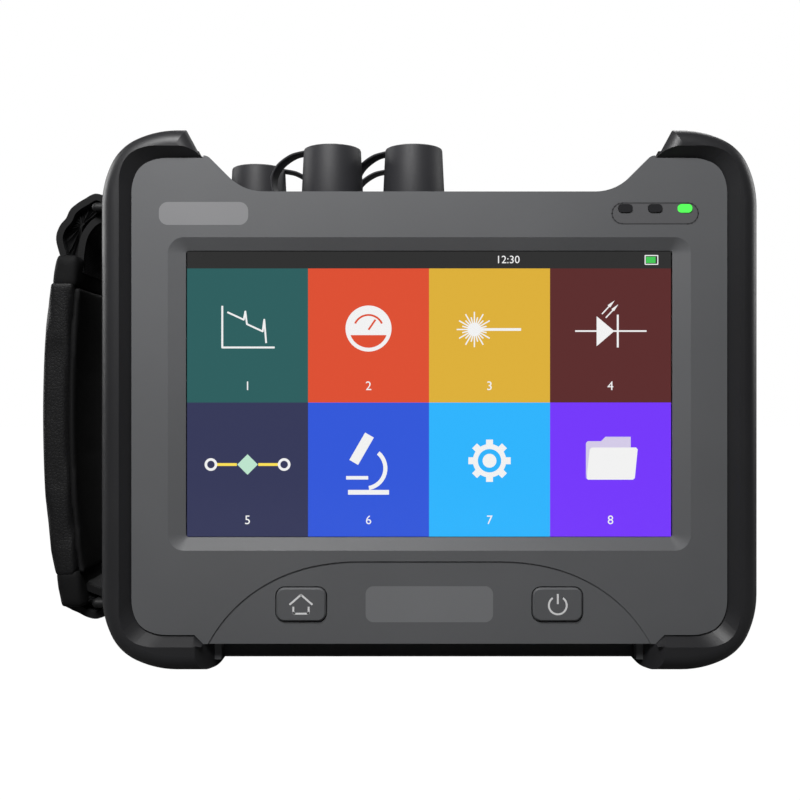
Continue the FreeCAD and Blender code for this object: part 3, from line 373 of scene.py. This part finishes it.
def trace_icon(bm):
    """Two axes with a falling line that has a spike at a joint and one at the far end."""
    stroke(bm, [(-8.0, 9.4), (-8.0, -3.8), (8.6, -3.8)], 0.6)
    falling = [(-6.4, 7.4), (-1.2, 5.0), (-0.7, 7.6), (-0.2, 3.6), (4.8, 1.3), (5.3, 5.0), (5.9, -2.4)]
    stroke(bm, falling, 0.55)


def meter_icon(bm):
    disc(bm, 0, 2.2, 7.3, 48)


def meter_detail(bm):
    """Scale with a needle over a filled segment."""
    ring(bm, 0, 1.8, 5.0, 0.6, math.radians(25), math.radians(130))
    stroke(bm, [(0, 1.8), (2.2, 5.0)], 0.6)
    polygon(bm, [round_point(0, 2.2, 6.1, degrees) for degrees in range(-160, -19, 10)])


def star_icon(bm):
    """Point of light with a beam."""
    u, v, rays = -4.8, 1.9, 24
    for n in range(rays):
        stroke(bm, [(u, v), round_point(u, v, 4.0 if n % 2 else 5.6, 360 * n / rays)], 0.42)
    disc(bm, u, v, 2.1)
    oblong(bm, 2.6, v, 14.8, 0.85)


def diode_icon(bm):
    """Sign of a light-emitting diode."""
    oblong(bm, 0.1, 1.4, 22.6, 0.5)
    polygon(bm, [(-4.4, -3.4), (-4.4, 6.1), (1.2, 1.4)])
    oblong(bm, 2.3, 1.4, 0.6, 10.4)
    for shift in (0, 1.2):
        stroke(bm, [(-2.7 + shift, 6.8 - shift), (0.2 + shift, 9.9 - shift)], 0.4)
        polygon(bm, [(1.3 + shift, 11.1 - shift), (-0.9 + shift, 9.6 - shift), (-0.1 + shift, 8.9 - shift)])


def fibre_icon(bm):
    for side in (-1, 1):
        oblong(bm, side * 6.6, 1.6, 6.4, 0.9)


def joint_icon(bm):
    """A square joint turned on its corner."""
    oblong(bm, 0, 1.6, 4.6, 4.6, math.radians(45))


def ends_icon(bm):
    for side in (-1, 1):
        ring(bm, side * 11.6, 1.6, 2.0, 0.8)


def microscope_icon(bm):
    """Plain side view of a microscope: tube, curved arm, stage and foot."""
    oblong(bm, -2.2, 6.6, 10.0, 3.2, math.radians(60))
    ring(bm, -1.0, 0.4, 7.0, 1.3, math.radians(-80), math.radians(130))
    oblong(bm, -3.6, -2.6, 7.0, 1.1)
    oblong(bm, 0, -7.2, 13.0, 1.5)


def gear_icon(bm):
    ring(bm, 0, 2.8, 5.3, 1.6)
    disc(bm, 0, 2.8, 2.2)
    for degrees in range(0, 360, 45):
        oblong(bm, *round_point(0, 2.8, 5.7, degrees), 2.0, 2.2, math.radians(degrees))


def folder_back(bm):
    polygon(bm, [(-7.8, -2.8), (-7.8, 8.4), (-7.2, 9.0), (-3.0, 9.0), (-1.6, 10.4), (6.4, 10.4), (6.4, 6.4),
                 (-6.0, 6.4)])


def folder_front(bm):
    polygon(bm, [(-7.6, -2.8), (-7.1, -3.2), (7.1, -3.2), (7.7, -2.7), (8.6, 6.4), (8.1, 7.0), (-6.0, 7.0),
                 (-6.6, 6.4)])


shade_light = glowing("shade_light", "#d6cdea")
tile_icons = [
    [(trace_icon, white_light)], [(meter_icon, white_light)], [(star_icon, white_light)],
    [(diode_icon, white_light)],
    [(fibre_icon, yellow_light), (joint_icon, mint_light), (ends_icon, white_light)],
    [(microscope_icon, white_light)], [(gear_icon, white_light)],
    [(folder_back, shade_light), (folder_front, white_light)],
]
label_drop = 16.1

for row in range(2):
    for column in range(4):
        x, z = tile_centre(row, column)
        number = row * 4 + column
        colour = glowing("tile_light_%d" % number, tile_colours[row][column])
        inlay("tile_%d" % number, colour, (x, tile_layer, z),
              lambda bm: oblong(bm, 0, 0, tile_wide, tile_tall))
        for order, (draw, light) in enumerate(tile_icons[number]):
            inlay("icon_%d_%d" % (number, order), light, (x, icon_layer - order * 0.01 * MM, z), draw)
        numerals("tile_number_%d" % number, str(number + 1), 2.9,
                 (x, icon_layer, z - label_drop * MM), white_light)

x, z = tile_centre(0, 1)
inlay("meter_detail", glowing("meter_light", tile_colours[0][1]), (x, detail_layer, z), meter_detail)

bar_z = screen_high.z - bar_tall / 2 * MM
inlay("status_bar", glowing("bar_light", "#333333"), (screen_x, tile_layer, bar_z),
      lambda bm: oblong(bm, 0, 0, screen_wide, bar_tall))
numerals("clock", "12:30", 2.5, (screen_x + 25 * MM, icon_layer, bar_z), white_light)
battery_x = screen_high.x - 6.2 * MM
inlay("battery_frame", white_light, (battery_x, icon_layer, bar_z),
      lambda bm: stroke(bm, [(-2, -1.4), (2, -1.4), (2, 1.4), (-2, 1.4), (-2, -1.4)], 0.3))
inlay("battery_level", green_light, (battery_x, icon_layer, bar_z), lambda bm: oblong(bm, -0.2, 0, 3.0, 2.0))


# ---- key pictograms ----------------------------------------------------------
def house(bm):
    stroke(bm, [(-3.6, 0.0), (0, 3.1), (3.6, 0.0)], 0.6)
    stroke(bm, [(-2.4, -0.6), (-2.4, -2.5), (-2.1, -2.8), (2.1, -2.8), (2.4, -2.5), (2.4, -0.6)], 0.6)


def standby(bm):
    ring(bm, 0, -0.2, 3.1, 0.6, math.radians(125), math.radians(290))
    stroke(bm, [(0, 0.2), (0, 3.4)], 0.6)


for key_name, draw in (("home_key", house), ("power_key", standby)):
    low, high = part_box(key_name)
    inlay(key_name + "_pictogram", pictogram_ink,
          ((low.x + high.x) / 2, low.y + 0.03 * MM, (low.z + high.z) / 2), draw, key_name)


low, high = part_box("lamp_window")
window_wide, window_high = (high.x - low.x) / MM, (high.z - low.z) / MM


def window_edge(bm):
    """Printed line round the lamps' window."""
    corner, border = 3.2, 0.3
    points = []
    for side, up, start in ((1, 1, 0), (-1, 1, 90), (-1, -1, 180), (1, -1, 270)):
        u, v = side * (window_wide / 2 - border - corner), up * (window_high / 2 - border - corner)
        points += [round_point(u, v, corner, start + 22.5 * n) for n in range(5)]
    stroke(bm, points + points[:2], 0.4)


inlay("lamp_window_line", grained("line_ink", ("#454547", "#414143"), 0.5, 0.5, 0.1),
      ((low.x + high.x) / 2, low.y + 0.04 * MM, (low.z + high.z) / 2), window_edge)


# ---- shapes in mm: from the middle of the face to the right, behind it, and up --
face_low_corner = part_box("front_housing")[0]
housing_place = Matrix.Translation((screen_x, face_low_corner.y, 0)) @ Matrix.Scale(MM, 4)


def through(points, steps=8):
    """A smooth line through the points."""
    points = [Vector(p) for p in points]
    padded = [2 * points[0] - points[1]] + points + [2 * points[-1] - points[-2]]
    line = []
    for n in range(1, len(padded) - 2):
        a, b, c, d = padded[n - 1:n + 3]
        for step in range(steps):
            t = step / steps
            line.append(0.5 * (2 * b + (c - a) * t + (2 * a - 5 * b + 4 * c - d) * t * t
                               + (3 * b - a - 3 * c + d) * t ** 3))
    return line + [points[-1]]


def band(wide, thick, soften=0.45):
    """Section of a flat strip with rounded long edges: side and out, per point."""
    w, t, r = wide / 2, thick / 2, thick * soften
    corners = ((w - r, t - r, 0), (r - w, t - r, 90), (r - w, r - t, 180), (w - r, r - t, 270))
    return [round_point(side, out, r, start + 30 * n) for side, out, start in corners for n in range(4)]


def swept(bm, line, section, across):
    """Skins a section carried along a line; across is the section's side direction."""
    across = Vector(across).normalized()
    layer = bm.loops.layers.uv.verify()
    rings, lengths, far = [], [], 0.0
    for n, here in enumerate(line):
        ahead = (line[min(n + 1, len(line) - 1)] - line[max(n - 1, 0)]).normalized()
        out = ahead.cross(across).normalized()
        rings.append([bm.verts.new(here + across * side + out * off) for side, off in section])
        far += (here - line[n - 1]).length if n else 0.0
        lengths.append(far * MM)
    for n in range(len(rings) - 1):
        for k in range(len(section)):
            after = (k + 1) % len(section)
            corners = (rings[n][k], rings[n][after], rings[n + 1][after], rings[n + 1][k])
            face = bm.faces.new(corners)
            spots = ((k, n), (after, n), (after, n + 1), (k, n + 1))
            for loop, (side, along) in zip(face.loops, spots):
                loop[layer].uv = (section[side][0] * MM, lengths[along])
    bm.faces.new(list(reversed(rings[0])))
    bm.faces.new(rings[-1])


def turned(bm, profile, x, y, z, steps=48):
    """A round solid spun from points of radius and height."""
    verts = [bm.verts.new((x + radius, y, z + height)) for radius, height in profile]
    edges = [bm.edges.new(pair) for pair in zip(verts, verts[1:])]
    bmesh.ops.spin(bm, geom=verts + edges, cent=(x, y, z), axis=(0, 0, 1), angle=math.tau, steps=steps,
                   use_merge=True)
    bmesh.ops.remove_doubles(bm, verts=bm.verts, dist=1e-4)


def shaped(name, bm, material, body="instrument", sharp=35.0):
    """Ends a mesh drawn in mm: put on the housing, normals out, smooth but for its sharp edges."""
    bmesh.ops.transform(bm, matrix=housing_place, verts=bm.verts)
    bmesh.ops.recalc_face_normals(bm, faces=bm.faces)
    thing = finished(name, bm, material, body)
    thing.data.shade_smooth()
    thing.data.set_sharp_from_angle(angle=math.radians(sharp))
    return thing


# ---- shelves that cover the gap in the rear housing beside each horn -----------
shelf_size = Vector((14.0, 50.0, 2.2))
shelf_inner, shelf_front, shelf_top = 72.5, 10.2, 161.4
shelf_round = 0.5
for side_name, side in (("left", -1), ("right", 1)):
    bm = bmesh.new()
    bmesh.ops.create_cube(bm, size=1.0)
    bmesh.ops.scale(bm, vec=shelf_size, verts=bm.verts)
    middle = Vector((side * (shelf_inner + shelf_size.x / 2), shelf_front + shelf_size.y / 2,
                     shelf_top - shelf_size.z / 2))
    bmesh.ops.translate(bm, vec=middle, verts=bm.verts)
    bmesh.ops.bevel(bm, geom=list(bm.edges), offset=shelf_round, segments=3, profile=0.5, affect="EDGES")
    shaped("horn_shelf_" + side_name, bm, shell_abs)


# ---- port caps with their tethers ---------------------------------------------
# degrees, seen from above, at which each tether leaves its ring
tether_turns = {"meter": 168, "locator": 8, "singlemode": 164, "multimode": 158}
cap_bore, cap_roof = 7.5, 4.2
ribbon_wide, ribbon_thick = 5.2, 0.9
ring_bore, ring_rim, ring_thick, ring_under_cap = 7.3, 8.8, 1.4, 1.7

for port, turn in tether_turns.items():
    low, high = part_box(port + "_cap")
    x = ((low.x + high.x) / 2 - screen_x) / MM
    y = ((low.y + high.y) / 2 - face_low_corner.y) / MM
    foot, top = low.z / MM, high.z / MM
    radius, tall = (high.x - low.x) / MM / 2, top - foot
    bm = bmesh.new()
    turned(bm, [(cap_bore, 0), (radius - 0.3, 0), (radius, 0.4), (radius - 0.75, tall - 0.9),
                (radius - 0.95, tall - 0.45), (radius - 1.4, tall - 0.2), (radius * 0.6, tall - 0.05),
                (0, tall)], x, y, foot)
    turned(bm, [(cap_bore, 0), (cap_bore, tall - cap_roof), (0, tall - cap_roof)], x, y, foot)
    cap = shaped(port + "_cap_moulding", bm, cap_silicone, port + "_cap")
    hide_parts(port + "_cap")
    out = Vector((*round_point(0, 0, 1, turn), 0))
    deck = foot - ring_under_cap
    # from the ring, out over the deck, up, and back to the top of the cap
    spots = [(8.0, deck + 0.7), (13.0, deck + 0.7), (17.8, deck + 2.0), (20.4, deck + 6.0),
             (20.6, deck + 10.4), (18.4, top - 4.6), (13.8, top - 1.7), (8.6, top - 0.7)]
    line = through([Vector((x, y, 0)) + out * u + Vector((0, 0, z)) for u, z in spots])
    bm = bmesh.new()
    swept(bm, line, band(ribbon_wide, ribbon_thick), Vector((0, 0, 1)).cross(out))
    turned(bm, [(ring_bore, 0), (ring_rim, 0), (ring_rim, ring_thick), (ring_bore, ring_thick),
                (ring_bore, 0)], x, y, deck)
    tether = shaped(port + "_tether_moulding", bm, cap_silicone, body=None)
    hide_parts(port + "_tether")
    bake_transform(tether)


# ---- hand strap ----------------------------------------------------------------
pad_low, pad_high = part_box("strap_pad")
pad_out = (pad_low.x - screen_x) / MM
pad_front = (pad_low.y - face_low_corner.y) / MM
pad_back = (pad_high.y - face_low_corner.y) / MM
pad_middle = (pad_front + pad_back) / 2
side_gap = 0.6           # the blown-up pieces stay this far inside the pad's width
bow_middle, bow_depth, bow_curve = 80.0, 0.8, 0.00136


def pad_line(z):
    """Outer side of the strap at a height: a long bow."""
    return pad_out - bow_depth + bow_curve * (z - bow_middle) ** 2


blow_frames = 20
blow_reach = 1.2 * MM


def puffed(thing, pressure):
    """Blows a closed skin up as cloth, then lets no vertex go further than the reach."""
    still = [v.co.copy() for v in thing.data.vertices]
    cloth = thing.modifiers.new("cloth", "CLOTH")
    cloth.settings.use_pressure = True
    cloth.settings.uniform_pressure_force = pressure
    cloth.settings.effector_weights.gravity = 0.0
    cloth.settings.tension_stiffness = 20
    cloth.settings.compression_stiffness = 20
    cloth.settings.bending_stiffness = 1.5
    cloth.point_cache.frame_start = 1
    cloth.point_cache.frame_end = blow_frames
    scene = bpy.context.scene
    for frame_number in range(1, blow_frames + 1):
        scene.frame_set(frame_number)
        bpy.context.view_layer.update()
    blown = thing.evaluated_get(bpy.context.evaluated_depsgraph_get())
    moved = [v.co.copy() for v in blown.data.vertices]
    thing.modifiers.remove(cloth)
    for vert, old, new in zip(thing.data.vertices, still, moved):
        step = new - old
        if step.length > blow_reach:
            step = step.normalized() * blow_reach
        vert.co = old + step
    scene.frame_set(1)


def relaxed(bm, factor):
    for _ in range(2):
        bmesh.ops.smooth_vert(bm, verts=bm.verts, factor=factor, use_axis_x=True, use_axis_y=True,
                              use_axis_z=True)


def padded_block(name, z_low, z_high, thick, inset, narrow, material, puff, cell):
    """A soft block on the strap's line, remeshed evenly in cells of so many mm and blown up."""
    bm = bmesh.new()
    bmesh.ops.create_cube(bm, size=1.0)
    bmesh.ops.subdivide_edges(bm, edges=bm.edges, cuts=23, use_grid_fill=True)
    half_width = pad_back - pad_middle - side_gap - narrow
    for vert in bm.verts:
        across, along, out = vert.co.y * 2, vert.co.z * 2, vert.co.x * 2
        rim = max(abs(across) ** 6, abs(along) ** 14)      # 1 at the seams, 0 over most of the block
        half_thick = thick / 2 * (1 - 0.2 * rim)
        z = (z_low + z_high) / 2 + along * (z_high - z_low) / 2
        vert.co = Vector((pad_line(z) + inset + thick / 2 + out * half_thick,
                          pad_middle + across * half_width, z))
    thing = shaped(name, bm, material)
    remesh = thing.modifiers.new("even", "REMESH")
    remesh.mode = "VOXEL"
    remesh.voxel_size = cell * MM
    even = bpy.data.meshes.new_from_object(thing.evaluated_get(bpy.context.evaluated_depsgraph_get()))
    thing.modifiers.remove(remesh)
    thing.data = even
    dress(thing, material)
    puffed(thing, puff)
    bm = bmesh.new()
    bm.from_mesh(thing.data)
    relaxed(bm, 0.5)
    bmesh.ops.subdivide_edges(bm, edges=bm.edges, cuts=1, use_grid_fill=True, smooth=0.6)
    bm.to_mesh(thing.data)
    bm.free()
    thing.data.shade_smooth()
    return thing


seam_low, seam_high = 27.4, 123.0
cuff_foot, cuff_top, cuff_lap = 18.0, 131.6, 2.5
strap_thick = 9.0
pad = padded_block("strap_pad_leather", seam_low, seam_high, strap_thick, 0.0, 0.0, pad_leather, 3.0, 1.7)
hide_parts("strap_pad")
for cuff_name, foot, top in (("upper", seam_high - cuff_lap, cuff_top),
                             ("lower", cuff_foot, seam_low + cuff_lap)):
    cuff = padded_block("strap_%s_cuff" % cuff_name, foot, top, strap_thick, -0.2, 0.2, cuff_knit, 1.5, 1.4)
# lining on the pad's inner side: a real lining whose near-black knit also stands in as painted shade for the
# gap between strap and body
lining_and_shade = padded_block("strap_lining_and_shade", seam_low + 1.5, seam_high - 1.5, 2.6, 7.6, 1.0, cuff_knit, 0.5, 1.4)

bars_low, bars_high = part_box("strap_bars")
bar_radius = 1.5
bar_out = (bars_low.x - screen_x) / MM + bar_radius
bar_foot, bar_top = bars_low.z / MM + bar_radius, bars_high.z / MM - bar_radius
web_low, web_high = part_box("upper_webbing")
web_wide = (web_high.y - web_low.y) / MM
web_thick = 2.7
# the loops, seen from the front: to the right of the bar and above it
upper_path = [(-10.6, -21), (-11.4, -15.8), (-12.8, -10.0), (-11.8, -6.3), (-9.7, -3.7), (-8.4, -1.0),
              (-6.2, 0.9), (-3.9, 2.3), (-0.9, 3.8), (1.9, 2.6), (3.1, 0.0), (1.5, -2.7), (-2.0, -5.1),
              (-4.7, -9.3), (-5.8, -15.3), (-6.0, -21)]
lower_path = [(-11.2, 8.0), (-11.2, 0.8), (-8.8, -1.3), (-6.0, -2.6), (-3.2, -4.0), (-0.3, -4.4),
              (2.4, -2.7), (3.0, 0.0), (1.4, 2.7), (-2.0, 4.1), (-5.2, 6.0), (-6.4, 10.0)]


# the cloth in a loop: places over the strap's width, and how much of the loop it fills there
fold_full = 0.97
fold_end = [(19.5, 0.0), (17.5, 0.3), (16.0, 0.62), (16.6, 0.84), (16.4, fold_full)]
fold_stations = [(-depth, share) for depth, share in fold_end] + [(0.0, fold_full)] + fold_end[::-1]


def folded_webbing(name, bar_z, path):
    """Webbing looped round a bar, and folded cloth that fills the loop, whose near-black knit also stands in
    as painted shade inside the loop.
    """
    line = through([Vector((bar_out + u, pad_middle, bar_z + w)) for u, w in path], 6)
    bm = bmesh.new()
    swept(bm, line, band(web_wide, web_thick, 0.9), (0, 1, 0))
    thing = shaped(name, bm, nylon_web, sharp=60)
    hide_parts(name.replace("_loop", ""))
    bm = bmesh.new()
    middle = sum(line, Vector()) / len(line)
    before = None
    for depth, share in fold_stations:
        pleat = 1.2 * math.sin(math.pi * share) if share < fold_full else 0.0
        verts = [bm.verts.new(middle + (spot - middle) * max(share, 0.04)
                              + Vector((0, depth + pleat * math.sin(n * 1.7), 0)))
                 for n, spot in enumerate(line)]
        edges = [bm.edges.new((a, b)) for a, b in zip(verts, verts[1:] + verts[:1])]
        if before:
            bmesh.ops.bridge_loops(bm, edges=before + edges)
        else:
            bm.faces.new(verts)
        before = edges
    bm.faces.new(verts)
    relaxed(bm, 0.4)
    # the fill of the loop: folded cloth whose near-black knit is partly painted shade
    shaped(name.replace("_loop", "_fold"), bm, cuff_knit, sharp=60)


folded_webbing("upper_webbing_loop", bar_top, upper_path)
folded_webbing("lower_webbing_loop", bar_foot, lower_path)


# ---- floor, lights and camera ------------------------------------------------
def backdrop():
    """White floor and surroundings; the floor keeps the object's soft shadow."""
    bm = bmesh.new()
    bmesh.ops.create_grid(bm, x_segments=1, y_segments=1, size=3.0)
    mesh = bpy.data.meshes.new("floor")
    bm.to_mesh(mesh)
    bm.free()
    floor = bpy.data.objects.new("floor", mesh)
    bpy.context.scene.collection.objects.link(floor)
    material = bpy.data.materials.new("paper_sweep")
    material.use_nodes = True
    tree = material.node_tree
    tree.nodes.clear()
    paths = add(tree, "ShaderNodeLightPath")
    share = add(tree, "ShaderNodeMath", {0: paths.outputs["Is Camera Ray"], 1: 0.9},
                operation="MULTIPLY")
    paper = add(tree, "ShaderNodeBsdfDiffuse", {"Color": (0.15, 0.15, 0.15, 1)})
    light = add(tree, "ShaderNodeEmission", {"Color": (1, 1, 1, 1), "Strength": 1.12})
    mix = add(tree, "ShaderNodeMixShader", {0: share.outputs["Value"], 1: paper.outputs[0],
                                            2: light.outputs[0]})
    add(tree, "ShaderNodeOutputMaterial", {"Surface": mix.outputs[0]})
    mesh.materials.append(material)


def surroundings(strength):
    """White to the camera, and of the given strength as light on the object."""
    world = bpy.data.worlds.new("studio")
    bpy.context.scene.world = world
    world.use_nodes = True
    tree = world.node_tree
    tree.nodes.clear()
    paths = add(tree, "ShaderNodeLightPath")
    level = add(tree, "ShaderNodeMapRange", {"Value": paths.outputs["Is Camera Ray"], "To Min": strength,
                                             "To Max": 1.0})
    back = add(tree, "ShaderNodeBackground", {"Color": (1, 1, 1, 1), "Strength": level.outputs["Result"]})
    add(tree, "ShaderNodeOutputWorld", {"Surface": back.outputs[0]})


def softbox(name, place, target, size, power):
    light = bpy.data.lights.new(name, "AREA")
    light.shape = "RECTANGLE"
    light.size, light.size_y = size
    light.energy = power
    lamp = bpy.data.objects.new(name, light)
    lamp.location = place
    lamp.rotation_euler = (Vector(target) - Vector(place)).to_track_quat("-Z", "Y").to_euler()
    bpy.context.scene.collection.objects.link(lamp)


backdrop()
surroundings(0.02)
centre = (0, 0, 0.09)    # middle of the instrument, in metres like all that follows
softbox("key_light", (-0.12, -0.4, 0.5), centre, (0.25, 0.2), 3.3)
softbox("rear_light", (0.15, 0.7, 0.8), centre, (0.7, 0.5), 5)
softbox("left_light", (-0.9, 0.3, 0.4), centre, (0.5, 0.5), 4)
softbox("right_light", (0.9, 0.3, 0.4), centre, (0.5, 0.5), 3)

camera = bpy.data.cameras.new("camera")
camera.sensor_width = 36
camera.lens = 48.8
camera.clip_start = 0.01
eye = bpy.data.objects.new("camera", camera)
eye_left, eye_distance, eye_high = 0.0092, 0.340, 0.0848
eye.location = (screen_x - eye_left, face_low_corner.y - eye_distance, eye_high)
eye.rotation_euler = (math.radians(90), 0, 0)
bpy.context.scene.collection.objects.link(eye)
bpy.context.scene.camera = eye
bpy.context.scene.view_settings.view_transform = "Standard"
